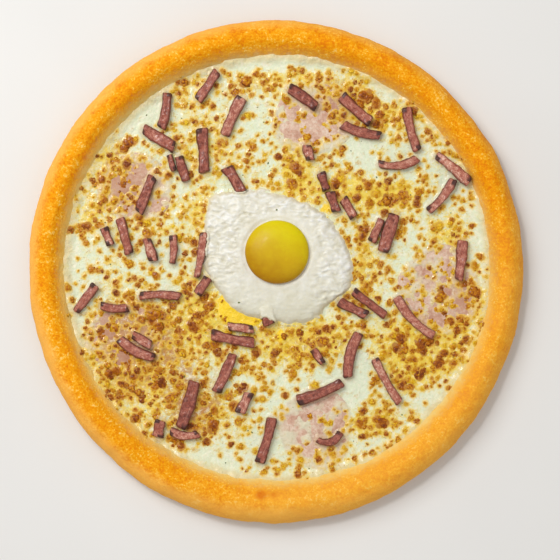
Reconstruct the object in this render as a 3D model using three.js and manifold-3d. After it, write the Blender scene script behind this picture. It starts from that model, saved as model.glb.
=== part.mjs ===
// Whole, uncut carbonara pizza: a round bread crust with a raised rim, a bed of melted cheese and
// cream, slices of ham sunk in the cheese, strips of bacon scattered over it, and one fried egg a
// little above the middle. Millimetres, +Z up, origin at the middle of the underside.
import * as THREE from 'three';
import { mergeVertices } from 'three/addons/utils/BufferGeometryUtils.js';
import Module from 'manifold-3d';

const wasm = await Module();
wasm.setup();

// Driving dimensions
const PIZZA_RADIUS = 150;
const RIM_INNER_RADIUS = 126.5;
const RIM_HEIGHT = 21;
const BASE_THICKNESS = 6;
const CHEESE_TOP = 9.6;
const GAP = 0.3;
const HAM_THICKNESS = 1.5;
const STRIP_THICKNESS = 4;
const STRIP_CHAMFER = 1.1;
const YOLK_RADIUS = 19.5;
const YOLK_MIDDLE = 5.5;
const YOLK_UPPER = 6.6;
const YOLK_LOWER = 4;
const YOLK_CENTRE = [1, 11.3];
const EGG_CENTRE = [1, 8];

// How finely each shape is divided
const CRUST_SEGMENTS = 64;
const CHEESE_RINGS = 9;
const HAM_SEGMENTS = 20;
const EGG_SEGMENTS = 40;
const YOLK_SEGMENTS = 28;
const YOLK_RINGS = 5;
const STRIP_STEPS = 4;

// Unevenness of hand-stretched dough: how far the outline and the rim's inner edge wander
const OUTLINE_OVAL = 0.009;
const OUTLINE_LEAN = 0.003;
const INNER_EDGE_DRIFT = 2.2;
const INNER_EDGE_WIDEST = THREE.MathUtils.degToRad(65);
const CREST_WAVE = 0.025;

// Gentle swells of the cheese bed
const SWELL_HEIGHT = 0.5;
const LONG_SWELL = 19;
const SHORT_SWELL = 12;

const crustMaterial = food(0xeb9d2e, 0.75);
const cheeseMaterial = food(0xe9dc9c, 0.45);
const hamMaterial = food(0xd9a89a, 0.5);
const baconMaterial = food(0x96504c, 0.45);
const eggWhiteMaterial = food(0xebe4d4, 0.35);
const yolkMaterial = food(0xd0b400, 0.2);

function food(color, roughness) {
  return new THREE.MeshStandardMaterial({ color, roughness, metalness: 0 });
}

// Shape helpers

// Joins shared corners and drops the flat triangles that a lathe leaves on its axis.
function weld(geometry) {
  geometry.deleteAttribute('normal');
  geometry.deleteAttribute('uv');
  const joined = mergeVertices(geometry, 1e-4);
  const corners = Array.from(joined.index.array);
  const kept = [];
  for (let i = 0; i < corners.length; i += 3) {
    const [a, b, c] = corners.slice(i, i + 3);
    if (a !== b && b !== c && c !== a) {
      kept.push(a, b, c);
    }
  }
  joined.setIndex(kept);
  return joined;
}

function lathe(profile, segments) {
  const points = profile.map(([radius, height]) => new THREE.Vector2(radius, height));
  const geometry = new THREE.LatheGeometry(points, segments);
  geometry.rotateX(Math.PI / 2);
  return weld(geometry);
}

// Moves every corner of a geometry to move(x, y, z).
function reshape(geometry, move) {
  const position = geometry.attributes.position;
  for (let i = 0; i < position.count; i += 1) {
    const [x, y, z] = move(position.getX(i), position.getY(i), position.getZ(i));
    position.setXYZ(i, x, y, z);
  }
  return geometry;
}

function toManifold(geometry) {
  const vertProperties = new Float32Array(geometry.attributes.position.array);
  const triVerts = new Uint32Array(geometry.index.array);
  return new wasm.Manifold(new wasm.Mesh({ numProp: 3, vertProperties, triVerts }));
}

function fromManifold(solid) {
  const mesh = solid.getMesh();
  const geometry = new THREE.BufferGeometry();
  geometry.setAttribute('position', new THREE.BufferAttribute(mesh.vertProperties, 3));
  geometry.setIndex(new THREE.BufferAttribute(mesh.triVerts, 1));
  return geometry;
}

function cut(geometry, tools) {
  let solid = toManifold(geometry);
  for (const tool of tools) {
    solid = solid.subtract(toManifold(tool));
  }
  return fromManifold(solid);
}

// Heights and outlines that several pieces share

function outerRadius(angle) {
  const oval = -OUTLINE_OVAL * Math.cos(2 * angle);
  const lean = OUTLINE_LEAN * Math.sin(3 * angle + 0.6);
  return PIZZA_RADIUS * (1 + oval + lean);
}

function innerRadius(angle) {
  return RIM_INNER_RADIUS + INNER_EDGE_DRIFT * Math.cos(angle - INNER_EDGE_WIDEST);
}

function cheeseTop(x, y) {
  const long = Math.sin(x / LONG_SWELL + 1.1) * Math.cos(y / LONG_SWELL - 0.4);
  const short = Math.sin((x + y) / SHORT_SWELL);
  return CHEESE_TOP + SWELL_HEIGHT * (0.6 * long + 0.4 * short);
}

// Stretches the plain round shape to the uneven outline: the bed up to the rim's inner edge, and
// the rim between its inner edge and the outline.
function stretchRadius(radius, angle) {
  const inner = innerRadius(angle);
  if (radius <= RIM_INNER_RADIUS) {
    return (radius * inner) / RIM_INNER_RADIUS;
  }
  const across = (radius - RIM_INNER_RADIUS) / (PIZZA_RADIUS - RIM_INNER_RADIUS);
  return inner + across * (outerRadius(angle) - inner);
}

// Crust: flat underside, rounded outer wall, high rim, and a level floor under the cheese.
function makeCrust() {
  const rim = PIZZA_RADIUS - RIM_INNER_RADIUS;
  const profile = [
    [0, 0],
    [PIZZA_RADIUS - 0.24 * rim, 0],
    [PIZZA_RADIUS - 0.08 * rim, 0.1 * RIM_HEIGHT],
    [PIZZA_RADIUS - 0.01 * rim, 0.27 * RIM_HEIGHT],
    [PIZZA_RADIUS, 0.45 * RIM_HEIGHT],
    [PIZZA_RADIUS - 0.06 * rim, 0.66 * RIM_HEIGHT],
    [PIZZA_RADIUS - 0.17 * rim, 0.84 * RIM_HEIGHT],
    [PIZZA_RADIUS - 0.32 * rim, 0.96 * RIM_HEIGHT],
    [PIZZA_RADIUS - 0.48 * rim, RIM_HEIGHT],
    [PIZZA_RADIUS - 0.64 * rim, 0.95 * RIM_HEIGHT],
    [PIZZA_RADIUS - 0.79 * rim, 0.79 * RIM_HEIGHT],
    [PIZZA_RADIUS - 0.91 * rim, 0.6 * RIM_HEIGHT],
    [RIM_INNER_RADIUS, CHEESE_TOP - 0.2],
    [RIM_INNER_RADIUS, BASE_THICKNESS],
    [0, BASE_THICKNESS],
  ];
  const geometry = lathe(profile, CRUST_SEGMENTS);
  return reshape(geometry, (x, y, z) => {
    const angle = Math.atan2(y, x);
    const radius = stretchRadius(Math.hypot(x, y), angle);
    const above = Math.max(0, z - CHEESE_TOP);
    const wave = Math.sin(3 * angle + 0.8) + Math.sin(7 * angle) + 0.6 * Math.sin(13 * angle + 2);
    const height = z + above * 2 * CREST_WAVE * wave;
    return [radius * Math.cos(angle), radius * Math.sin(angle), height];
  });
}

// Ham: thin round slices whose tops lie level with the cheese.
// middle x, middle y, half width, half height
const HAM_SLICES = [
  [-84, 50, 23, 20],
  [-90, -40, 24, 22],
  [22, 91, 24, 22],
  [98, -12, 25, 27],
  [24, -94, 22, 25],
];

function makeHam([middleX, middleY, halfWidth, halfHeight], margin, rise) {
  const bottom = -HAM_THICKNESS - margin;
  const profile = [[0, bottom], [1, bottom], [1, rise], [0.5, rise], [0, rise]];
  const geometry = lathe(profile, HAM_SEGMENTS);
  return reshape(geometry, (x, y, z) => {
    const turn = Math.atan2(y, x);
    const wobble = 1 + 0.04 * Math.sin(3 * turn + middleX) + 0.03 * Math.sin(5 * turn + middleY);
    const placeX = middleX + x * wobble * (halfWidth + margin);
    const placeY = middleY + y * wobble * (halfHeight + margin);
    return [placeX, placeY, cheeseTop(placeX, placeY) + z];
  });
}

// Cheese bed: fills the crust up to the foot of its rim, with a pocket for each slice of ham.
function makeCheese() {
  const floor = BASE_THICKNESS + GAP;
  const edge = RIM_INNER_RADIUS;
  const profile = [[0, floor], [edge, floor], [edge, CHEESE_TOP]];
  for (let ring = 1; ring <= CHEESE_RINGS; ring += 1) {
    profile.push([edge * (1 - ring / CHEESE_RINGS), CHEESE_TOP]);
  }
  const geometry = reshape(lathe(profile, CRUST_SEGMENTS), (x, y, z) => {
    const angle = Math.atan2(y, x);
    const full = stretchRadius(Math.hypot(x, y), angle);
    const radius = full * (1 - GAP / RIM_INNER_RADIUS);
    const placeX = radius * Math.cos(angle);
    const placeY = radius * Math.sin(angle);
    const height = z < CHEESE_TOP - 1 ? z : cheeseTop(placeX, placeY);
    return [placeX, placeY, height];
  });
  const pocketRise = 3;
  const pockets = HAM_SLICES.map((slice) => makeHam(slice, GAP, pocketRise));
  return cut(geometry, pockets);
}

// Bacon: strips with a chamfered section, bent along a shallow curve and laid on the cheese.
// start x, start y, end x, end y, width, bow (how far the middle bends left), lift of the end
const STRIPS = [
  // upper left
  [-65, 106.5, -68.5, 85.5, 5.5, 1, 0],
  [-79, 85, -60.5, 74, 7, 0, 0],
  [-63.5, 69.5, -61, 60, 3.5, 0, 0],
  [-58, 68.5, -53.5, 54, 5.5, 0, 0],
  // top
  [-35, 119.5, -46.5, 102, 5.5, 0, 0],
  [-20, 104, -30.5, 81, 6.5, -0.5, 0],
  [-44, 85.5, -42.5, 59, 6.5, 0, 0],
  [-29.5, 62, -20.5, 47.5, 6.5, 0.5, 0],
  [8, 109.5, 24.5, 98, 6.5, 0.5, 0],
  [18.5, 75.5, 21, 66.5, 5.5, 0, 0],
  [27, 59, 30.5, 48.5, 5, 0, 0],
  // upper right
  [39.5, 105, 57, 89, 6.5, -0.5, 0],
  [40, 87.5, 63, 81, 6, -1.2, 0],
  [78.5, 98, 85, 72, 5.5, -0.9, 0],
  [61.5, 64.5, 85, 67.5, 5, -3, 0],
  [96.5, 69.5, 116, 52.5, 6, 0.5, 2.6],
  [106.5, 55, 91.5, 36, 5, 1.8, 0],
  // left
  [-73.5, 56.5, -82, 35, 6, 0, 0],
  [-93, 32, -87.5, 10, 5.5, 0, 0],
  [-103, 26, -98.5, 15.5, 4.8, 0, 0],
  [-77, 19.5, -73, 6, 5.5, 0, 0],
  [-61.5, 21.5, -62, 4.5, 4.5, 0.8, 0],
  [-107.5, -8.5, -119.5, -24.5, 5.5, 0, 0],
  [-81.5, -15, -57, -15.5, 5, 1, 0],
  [-105, -20.5, -88.5, -22, 5, -1.2, 0],
  // beside the egg
  [-43, 23, -47.5, -4, 4.5, 0.6, 0],
  [-40.5, -4, -47, -14, 5.5, 0, 0],
  [-5.5, -22, -4, -32.5, 6.5, 0, 0],
  [32.5, 47.5, 36.5, 35.5, 5.6, 0, 0],
  [40.5, 43.5, 47, 32, 5.4, 0, 0],
  [63.5, 31, 57.5, 17.5, 4.8, 0, 0],
  [71.3, 34, 64.3, 11.5, 7.6, 0, 0],
  [46.5, -12, 66, -27, 5, 0, 0],
  [38, -18.5, 54.5, -26.5, 5.8, 0, 0],
  // right
  [72.5, -15.5, 95, -39, 5.5, -2.5, 0],
  [112, 18.5, 109.5, -5.5, 6, 0.5, 0],
  // lower left
  [-93.5, -40.5, -72.5, -52, 5.8, -1.8, 0],
  [-85.5, -38, -74.5, -44.5, 5.6, 0, 0],
  [-69, -89.5, -70.5, -99.5, 6.5, 0, 0],
  [-48.5, -66, -57, -94, 7.5, 0.7, 0],
  [-63, -95.5, -46, -97.5, 5, -2.2, 0],
  // bottom
  [-28.5, -33, -13, -35.2, 5, 0, 0],
  [-38.5, -38, -12.5, -43, 6.2, -0.5, 0],
  [-25.5, -49.5, -35.5, -72.5, 6, 0.5, 0],
  [-15.5, -73, -21.5, -85, 6, 0, 0],
  [-2, -88, -9.5, -115, 6, 0.5, 0],
  [22.5, -47, 28.5, -55.5, 4.5, 0, 0],
  [13, -77.5, 40, -66.5, 6, -1.2, 0],
  [50, -37, 43.5, -64, 6.2, -2, 0],
  [59.5, -52.5, 74.5, -79, 5, -0.9, 0],
  [25, -101, 39, -96.5, 4.5, -3.8, 0],
];

// One strip, grown all round by margin when it is used to cut a seat in the egg white.
function makeStrip([startX, startY, endX, endY, width, bow, lift], margin) {
  const start = new THREE.Vector2(startX, startY);
  const along = new THREE.Vector2(endX, endY).sub(start);
  const chord = along.length();
  along.normalize();
  const left = new THREE.Vector2(-along.y, along.x);
  const half = width / 2 + margin;
  const top = STRIP_THICKNESS + margin;
  const low = -margin;
  const chamfer = STRIP_CHAMFER;
  const section = new THREE.Shape([
    new THREE.Vector2(-half + chamfer, low),
    new THREE.Vector2(half - chamfer, low),
    new THREE.Vector2(half, low + chamfer),
    new THREE.Vector2(half, top - chamfer),
    new THREE.Vector2(half - chamfer, top),
    new THREE.Vector2(-half + chamfer, top),
    new THREE.Vector2(-half, top - chamfer),
    new THREE.Vector2(-half, low + chamfer),
  ]);
  const length = chord + 2 * margin;
  const bar = new THREE.ExtrudeGeometry(section, {
    depth: length,
    steps: STRIP_STEPS,
    bevelEnabled: false,
  });
  return reshape(weld(bar), (across, height, depth) => {
    const distance = depth - margin;
    const share = distance / chord;
    const bend = 4 * bow * share * (1 - share);
    const slope = (4 * bow * (1 - 2 * share)) / chord;
    const tilt = Math.hypot(1, slope);
    const forward = distance - (across * slope) / tilt;
    const sideways = bend + across / tilt;
    const placeX = start.x + along.x * forward + left.x * sideways;
    const placeY = start.y + along.y * forward + left.y * sideways;
    const rest = cheeseTop(placeX, placeY) + GAP;
    return [placeX, placeY, rest + height + lift * share];
  });
}

// Fried egg: the white spreads over the cheese and over the ends of the strips it touches, and the
// yolk sits in a seat in it.
const EGG_OUTLINE = [
  [46, 2], [44, 14], [37.5, 24.5], [31, 33.5], [21, 39.5], [10, 44.3], [-4, 46.8], [-20, 47.5],
  [-37, 46], [-42.8, 33], [-42, 14], [-41.5, 0], [-34, -12.5], [-28, -20.5], [-20, -26],
  [-9, -28.8], [3, -31], [14, -31.6], [25, -28.3], [31, -20], [38.5, -15], [45, -9.5],
];

// Strip ends that lie under the white, as x, y
const COVERED_ENDS = [[-21, 48], [-41, -5], [-5, -24], [40, -19]];
const COVER_HEIGHT = 1.6;
const COVER_REACH = 7;
const EDGE_START = 0.4;

function eggHeight(x, y, height) {
  let cover = height;
  for (const [endX, endY] of COVERED_ENDS) {
    const near = Math.exp(-((x - endX) ** 2 + (y - endY) ** 2) / COVER_REACH ** 2);
    cover = Math.max(cover, near * (STRIP_THICKNESS + COVER_HEIGHT));
  }
  return cover;
}

function makeYolk(margin) {
  const profile = [];
  for (let ring = -YOLK_RINGS; ring <= YOLK_RINGS; ring += 1) {
    const angle = (ring / YOLK_RINGS) * (Math.PI / 2);
    const reach = ring < 0 ? YOLK_LOWER : YOLK_UPPER;
    const radius = Math.abs(ring) === YOLK_RINGS ? 0 : Math.cos(angle) ** 0.8;
    profile.push([
      radius * (YOLK_RADIUS + margin),
      YOLK_MIDDLE + Math.sin(angle) * (reach + margin),
    ]);
  }
  const geometry = lathe(profile, YOLK_SEGMENTS);
  const [centreX, centreY] = YOLK_CENTRE;
  return geometry.translate(centreX, centreY, cheeseTop(centreX, centreY));
}

function makeEggWhite() {
  const corners = EGG_OUTLINE.map(([x, y]) => new THREE.Vector3(x, y, 0));
  const outline = new THREE.CatmullRomCurve3(corners, true);
  const profile = [
    [0, 0], [0.5, 0], [0.8, 0], [0.99, 0], [1, 0.8], [0.97, 2], [0.9, 3], [0.78, 3.8],
    [0.62, 4.4], [0.4, 4.7], [0, 4.7],
  ];
  const geometry = reshape(lathe(profile, EGG_SEGMENTS), (x, y, z) => {
    const turn = Math.atan2(y, x) / (2 * Math.PI);
    const edge = outline.getPoint(turn - Math.floor(turn));
    const reach = Math.hypot(x, y);
    const placeX = EGG_CENTRE[0] + reach * (edge.x - EGG_CENTRE[0]);
    const placeY = EGG_CENTRE[1] + reach * (edge.y - EGG_CENTRE[1]);
    const height = z < EDGE_START ? 0 : eggHeight(placeX, placeY, z);
    return [placeX, placeY, cheeseTop(placeX, placeY) + GAP + height];
  });
  const seats = STRIPS.map((strip) => makeStrip(strip, GAP));
  return cut(geometry, [makeYolk(GAP), ...seats]);
}

const pizza = new THREE.Group();

function addPart(name, geometry, material) {
  geometry.computeVertexNormals();
  const mesh = new THREE.Mesh(geometry, material);
  mesh.name = name;
  pizza.add(mesh);
  return mesh;
}

const crust = addPart('crust', makeCrust(), crustMaterial);
addPart('cheese_bed', makeCheese(), cheeseMaterial);
HAM_SLICES.forEach((slice, index) => {
  addPart(`ham_slice_${index + 1}`, makeHam(slice, 0, 0), hamMaterial);
});
STRIPS.forEach((strip, index) => {
  const number = String(index + 1).padStart(2, '0');
  addPart(`bacon_strip_${number}`, makeStrip(strip, 0), baconMaterial);
});
addPart('egg_white', makeEggWhite(), eggWhiteMaterial);
addPart('egg_yolk', makeYolk(0), yolkMaterial);

// The uneven outline is centred on the origin.
const outlineBox = new THREE.Box3().setFromObject(crust);
const outlineCentre = outlineBox.getCenter(new THREE.Vector3());
pizza.position.set(-outlineCentre.x, -outlineCentre.y, 0);

export default pizza;
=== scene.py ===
"""Whole carbonara pizza: baked crust, melted cheese with browned curds, sunken ham, bacon strips
and a fried egg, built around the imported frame. Lengths are in metres; MM turns millimetres into them."""

import math

import bpy
import numpy as np
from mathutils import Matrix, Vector, noise
from mathutils.bvhtree import BVHTree


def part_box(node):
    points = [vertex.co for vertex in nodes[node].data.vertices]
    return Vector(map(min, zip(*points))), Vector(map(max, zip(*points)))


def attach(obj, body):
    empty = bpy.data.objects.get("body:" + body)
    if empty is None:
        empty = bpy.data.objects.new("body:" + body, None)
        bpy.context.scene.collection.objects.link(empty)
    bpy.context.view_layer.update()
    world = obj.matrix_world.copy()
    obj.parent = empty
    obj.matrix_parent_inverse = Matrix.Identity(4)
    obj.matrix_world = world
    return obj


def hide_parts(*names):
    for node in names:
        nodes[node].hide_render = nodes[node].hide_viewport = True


MM = 0.001
SEED = 11
WEIGHT_STEPS = 32
PLUMB_START = 50 * MM

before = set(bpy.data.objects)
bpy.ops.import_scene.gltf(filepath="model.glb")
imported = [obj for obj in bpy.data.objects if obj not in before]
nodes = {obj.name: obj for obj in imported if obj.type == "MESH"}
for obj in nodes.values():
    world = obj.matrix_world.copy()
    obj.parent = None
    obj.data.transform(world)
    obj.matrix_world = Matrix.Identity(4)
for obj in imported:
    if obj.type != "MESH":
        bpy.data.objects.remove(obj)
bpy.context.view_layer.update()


# ---------------------------------------------------------------- shader tools


def tone(red, green, blue):
    """A display colour, 0 to 255, as the linear colour that shaders take."""
    channels = [c / 255 for c in (red, green, blue)]
    linear = [c / 12.92 if c <= 0.04045 else ((c + 0.055) / 1.055) ** 2.4 for c in channels]
    return (*linear, 1.0)


class Link:
    """A shader output that Python arithmetic works on: each operation adds one Math node."""

    def __init__(self, tree, socket):
        self.tree = tree
        self.socket = socket

    def feed(self, target):
        self.tree.links.new(self.socket, target)

    def math(self, operation, *values):
        node = self.tree.nodes.new("ShaderNodeMath")
        node.operation = operation
        for place, value in zip(node.inputs, (self, *values)):
            place_value(place, value)
        return Link(self.tree, node.outputs[0])

    def __add__(self, other):
        return self.math("ADD", other)

    def __sub__(self, other):
        return self.math("SUBTRACT", other)

    def __rsub__(self, other):
        return self.math("MULTIPLY_ADD", -1.0, other)

    def __mul__(self, other):
        return self.math("MULTIPLY", other)

    __radd__ = __add__
    __rmul__ = __mul__

    def clip(self):
        return self.math("MAXIMUM", 0.0).math("MINIMUM", 1.0)

    def over(self, low, high):
        """0 below low, 1 above high, and a smooth step between them."""
        node = self.tree.nodes.new("ShaderNodeMapRange")
        node.interpolation_type = "SMOOTHSTEP"
        for name, value in {"Value": self, "From Min": low, "From Max": high}.items():
            place_value(node.inputs[name], value)
        return Link(self.tree, node.outputs[0])


def place_value(target, value):
    if isinstance(value, Link):
        value.feed(target)
    else:
        target.default_value = value


class Finish:
    """One material, built node by node around a Principled shader."""

    def __init__(self, name):
        self.material = bpy.data.materials.new(name)
        self.material.use_nodes = True
        self.tree = self.material.node_tree
        self.tree.nodes.clear()
        self.place = self.add("TexCoord", {}, {}, "Object")

    def add(self, kind, settings, values, output=0):
        """Any node: its settings first, then the values or links of its sockets."""
        node = self.tree.nodes.new("ShaderNode" + kind)
        stops = settings.pop("stops", None)
        for key, value in settings.items():
            setattr(node, key, value)
        if stops:
            ramp = node.color_ramp
            while len(ramp.elements) < len(stops):
                ramp.elements.new(0.5)
            for element, (position, color) in zip(ramp.elements, stops):
                element.position = position
                element.color = color
        for key, value in values.items():
            place_value(node.inputs[key], value)
        return Link(self.tree, node.outputs[output])

    def grain(self, size, detail=3.0, roughness=0.55, warp=0.0, place=None):
        """Noise from 0 to 1 whose lumps measure about size, in the units of place."""
        values = {
            "Vector": place or self.place,
            "Scale": 1 / size,
            "Detail": detail,
            "Roughness": roughness,
            "Distortion": warp,
        }
        return self.add("TexNoise", {}, values)

    def cells(self, size, place=None):
        values = {"Vector": place or self.place, "Scale": 1 / size, "Randomness": 1.0}
        return self.add("TexVoronoi", {}, values, "Distance")

    def read(self, name):
        """A number painted on the piece's points."""
        return self.add("Attribute", {"attribute_name": name}, {}, "Fac")

    def blend(self, share, low, high):
        settings = {"data_type": "RGBA", "clamp_factor": True}
        return self.add("Mix", settings, {0: share, 6: low, 7: high}, 2)

    def ramp(self, share, *stops):
        return self.add("ValToRGB", {"stops": stops}, {"Fac": share}, "Color")

    def axis(self, name):
        return self.add("SeparateXYZ", {}, {"Vector": self.place}, name)

    def bump(self, height, strength, distance, under=None):
        values = {"Height": height, "Strength": strength, "Distance": distance}
        if under:
            values["Normal"] = under
        return self.add("Bump", {}, values)

    def surface(self, color, roughness, normal, **constants):
        """The shader: what changes over the surface is linked, the rest is set on its sockets."""
        values = {"Base Color": color, "Roughness": roughness, "Normal": normal}
        for key, value in constants.items():
            values[key.replace("_", " ").title().replace("Ior", "IOR")] = value
        shader = self.add("BsdfPrincipled", {}, values)
        output = self.tree.nodes.new("ShaderNodeOutputMaterial")
        shader.feed(output.inputs["Surface"])
        return self.material


# ---------------------------------------------------------------- modelling tools


def deselect():
    bpy.ops.object.select_all(action="DESELECT")


def pick(piece):
    deselect()
    piece.select_set(True)
    bpy.context.view_layer.objects.active = piece


def edit(piece):
    pick(piece)
    bpy.ops.object.mode_set(mode="EDIT")
    bpy.ops.mesh.select_all(action="DESELECT")


def leave():
    bpy.ops.object.mode_set(mode="OBJECT")


def edit_all(piece, tool, **settings):
    """Runs one edit-mode tool on the whole piece."""
    edit(piece)
    bpy.ops.mesh.select_all(action="SELECT")
    tool(**settings)
    leave()


def settle(piece):
    """Puts the piece's place into its mesh, so that its object sits at the origin."""
    pick(piece)
    bpy.ops.object.transform_apply(location=True, rotation=True, scale=True)


def started(name):
    """The primitive just added, named and settled."""
    piece = bpy.context.active_object
    piece.name = name
    settle(piece)
    return piece


def points(piece):
    flat = np.empty(len(piece.data.vertices) * 3)
    piece.data.vertices.foreach_get("co", flat)
    return flat.reshape(-1, 3)


def move(piece, places):
    piece.data.vertices.foreach_set("co", np.asarray(places, float).ravel())
    piece.data.update()


def select_points(piece, chosen):
    """Selects points by place, in object mode, for the next edit."""
    pick(piece)
    piece.data.vertices.foreach_set("select", np.asarray(chosen, bool))
    piece.data.edges.foreach_set("select", np.zeros(len(piece.data.edges), bool))
    piece.data.polygons.foreach_set("select", np.zeros(len(piece.data.polygons), bool))
    piece.data.update()


def sheet(name, size, step, middle):
    """A flat square of faces about step wide."""
    steps = round(size / step)
    deselect()
    bpy.ops.mesh.primitive_grid_add(
        x_subdivisions=steps, y_subdivisions=steps, size=size, location=middle
    )
    return started(name)


def trim(piece, chosen):
    """Deletes the chosen points with their faces."""
    select_points(piece, chosen)
    bpy.ops.object.mode_set(mode="EDIT")
    bpy.ops.mesh.delete(type="VERT")
    leave()


def paint(piece, name, values):
    attribute = piece.data.attributes.new(name, "FLOAT", "POINT")
    attribute.data.foreach_set("value", np.asarray(values, np.float32))


def weigh(piece, name, values):
    """A vertex group with a weight at each point, in even steps, to steer a modifier."""
    group = piece.vertex_groups.new(name=name)
    steps = np.round(np.clip(values, 0, 1) * WEIGHT_STEPS).astype(int)
    for step in range(1, WEIGHT_STEPS + 1):
        group.add(np.flatnonzero(steps == step).tolist(), step / WEIGHT_STEPS, "REPLACE")


def modify(piece, kind, **settings):
    """Adds a modifier, sets it and applies it."""
    pick(piece)
    bpy.ops.object.modifier_add(type=kind)
    modifier = piece.modifiers[-1]
    for key, value in settings.items():
        setattr(modifier, key, value)
    bpy.ops.object.modifier_apply(modifier=modifier.name)


def clouds(name, size, depth=2):
    texture = bpy.data.textures.new(name, "CLOUDS")
    texture.noise_scale = size
    texture.noise_depth = depth
    return texture


def lump(piece, size, strength, depth=2, group=""):
    """Uneven relief with lumps of about size, strength high from lowest to highest."""
    texture = clouds(f"{piece.name}_lumps", size, depth)
    modify(
        piece,
        "DISPLACE",
        texture=texture,
        texture_coords="GLOBAL",
        strength=strength,
        mid_level=0.5,
        vertex_group=group,
    )


def cad_copy(node, name):
    """A welded copy of a CAD node, to be worked into the finished piece."""
    piece = nodes[node].copy()
    piece.data = nodes[node].data.copy()
    piece.name = name
    piece.parent = None
    for key in list(piece.keys()):
        del piece[key]
    bpy.context.scene.collection.objects.link(piece)
    piece.hide_render = False
    piece.hide_viewport = False
    piece.data.materials.clear()
    edit_all(piece, bpy.ops.mesh.remove_doubles, threshold=0.01 * MM)
    return piece


def finish_piece(piece, material, replaced=()):
    """Smooth shading, one material, and the piece's place in the frame."""
    piece.data.materials.clear()
    piece.data.materials.append(material)
    pick(piece)
    bpy.ops.object.shade_smooth()
    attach(piece, "root")
    if replaced:
        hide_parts(*replaced)
    return piece


def fractal(places, size, octaves, slice_at):
    """Noise from about -1 to 1 at each place, x and y in metres."""
    values = [
        noise.fractal(Vector((x / size, y / size, slice_at)), 1.0, 2.0, octaves)
        for x, y in places
    ]
    return np.array(values)


def smooth_step(values, low, high):
    share = np.clip((values - low) / (high - low), 0, 1)
    return share * share * (3 - 2 * share)


# ---------------------------------------------------------------- what the frame says

STRIP_NODES = sorted(n for n in nodes if n.startswith("bacon_strip"))
HAM_NODES = sorted(n for n in nodes if n.startswith("ham_slice"))


def unique_points(node):
    return np.unique(np.round(points(nodes[node]), 7), axis=0)


def ring_radius(node, height_share):
    """The radius of a round node's outline as a function of angle."""
    places = unique_points(node)
    radius = np.hypot(places[:, 0], places[:, 1])
    outer = radius > height_share * radius.max()
    angles = np.arctan2(places[outer, 1], places[outer, 0])
    order = np.argsort(angles)
    angles, radius = angles[order], radius[outer][order]
    return lambda angle: np.interp(angle, angles, radius, period=2 * math.pi)


bed_radius = ring_radius("cheese_bed", 0.96)


def bed_points():
    """The points of the cheese's upper face, with those of the ham that is level with it."""
    places = np.vstack([unique_points(n) for n in ["cheese_bed", *HAM_NODES]])
    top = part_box("cheese_bed")[1].z
    return places[places[:, 2] > top - 1.3 * MM]


BED = bed_points()
BED_BLUR = 7 * MM
BED_BATCH = 4000


def bed_height(x, y):
    """The height of the CAD cheese, evened out between its points."""
    height = np.empty(len(x))
    for start in range(0, len(x), BED_BATCH):
        part = slice(start, start + BED_BATCH)
        away = (x[part, None] - BED[None, :, 0]) ** 2 + (y[part, None] - BED[None, :, 1]) ** 2
        weight = np.exp(-away / (2 * BED_BLUR**2)) + 1e-12
        height[part] = (weight * BED[None, :, 2]).sum(1) / weight.sum(1)
    return height


class Strip:
    """A bacon strip's centreline, width and thickness, read from its CAD node."""

    SECTION = 8

    def __init__(self, node):
        places = unique_points(node)
        middle = places.mean(0)
        spread = (places - middle)[:, :2]
        heading = np.linalg.eigh(spread.T @ spread)[1][:, 1]
        order = np.argsort(spread @ heading)
        sections = places[order].reshape(-1, self.SECTION, 3)
        self.node = node
        self.centres = sections.mean(1)
        share = np.linspace(0, 1, len(self.centres))
        self.curve = [np.polyfit(share, self.centres[:, axis], 2) for axis in range(3)]
        first = sections[0]
        self.width = max(np.linalg.norm(a - b) for a in first[:, :2] for b in first[:, :2])
        self.thickness = np.ptp(first[:, 2])
        self.length = np.linalg.norm(np.diff(self.centres, axis=0), axis=1).sum()

    def at(self, share):
        place = np.stack([np.polyval(c, share) for c in self.curve], -1)
        slope = np.stack([np.polyval(np.polyder(c), share) for c in self.curve], -1)
        slope /= np.linalg.norm(slope, axis=-1, keepdims=True)
        return place, slope

    def away(self, x, y):
        """How far each place is outside the strip's sides, in plan."""
        nearest = np.full(len(x), 1.0)
        line = self.at(np.linspace(0.06, 0.94, 9))[0][:, :2]
        for a, b in zip(line[:-1], line[1:]):
            run = b - a
            share = ((x - a[0]) * run[0] + (y - a[1]) * run[1]) / (run @ run)
            share = np.clip(share, 0, 1)
            off = np.hypot(x - a[0] - share * run[0], y - a[1] - share * run[1])
            nearest = np.minimum(nearest, off)
        return nearest - self.width / 2


STRIPS = [Strip(node) for node in STRIP_NODES]


def outline_of(node, count=120):
    """How far a place is outside a node's outline in plan, along the ray from its middle."""
    low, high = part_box(node)
    middle = np.array(((low + high) / 2).to_2d())
    mesh = nodes[node].data
    ends = np.empty(len(mesh.edges) * 2, int)
    mesh.edges.foreach_get("vertices", ends)
    plan = points(nodes[node])[:, :2] - middle
    start, run = plan[ends[::2]], plan[ends[1::2]] - plan[ends[::2]]
    turns = np.linspace(-math.pi, math.pi, count, endpoint=False)
    reach = []
    for turn in turns:
        ray = np.array([math.cos(turn), math.sin(turn)])
        cross = ray[0] * run[:, 1] - ray[1] * run[:, 0]
        cross = np.where(np.abs(cross) < 1e-12, np.inf, cross)
        share = -(ray[0] * start[:, 1] - ray[1] * start[:, 0]) / cross
        along = (start + share[:, None] * run) @ ray
        reach.append(along[(share >= 0) & (share <= 1)].max())
    reach = np.array(reach)

    def outside(x, y):
        angle = np.arctan2(y - middle[1], x - middle[0])
        edge = np.interp(angle, turns, reach, period=2 * math.pi)
        return np.hypot(x - middle[0], y - middle[1]) - edge

    return outside


egg_outside = outline_of("egg_white")
ham_outsides = [outline_of(node) for node in HAM_NODES]


# ---------------------------------------------------------------- where the cheese browned

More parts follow.
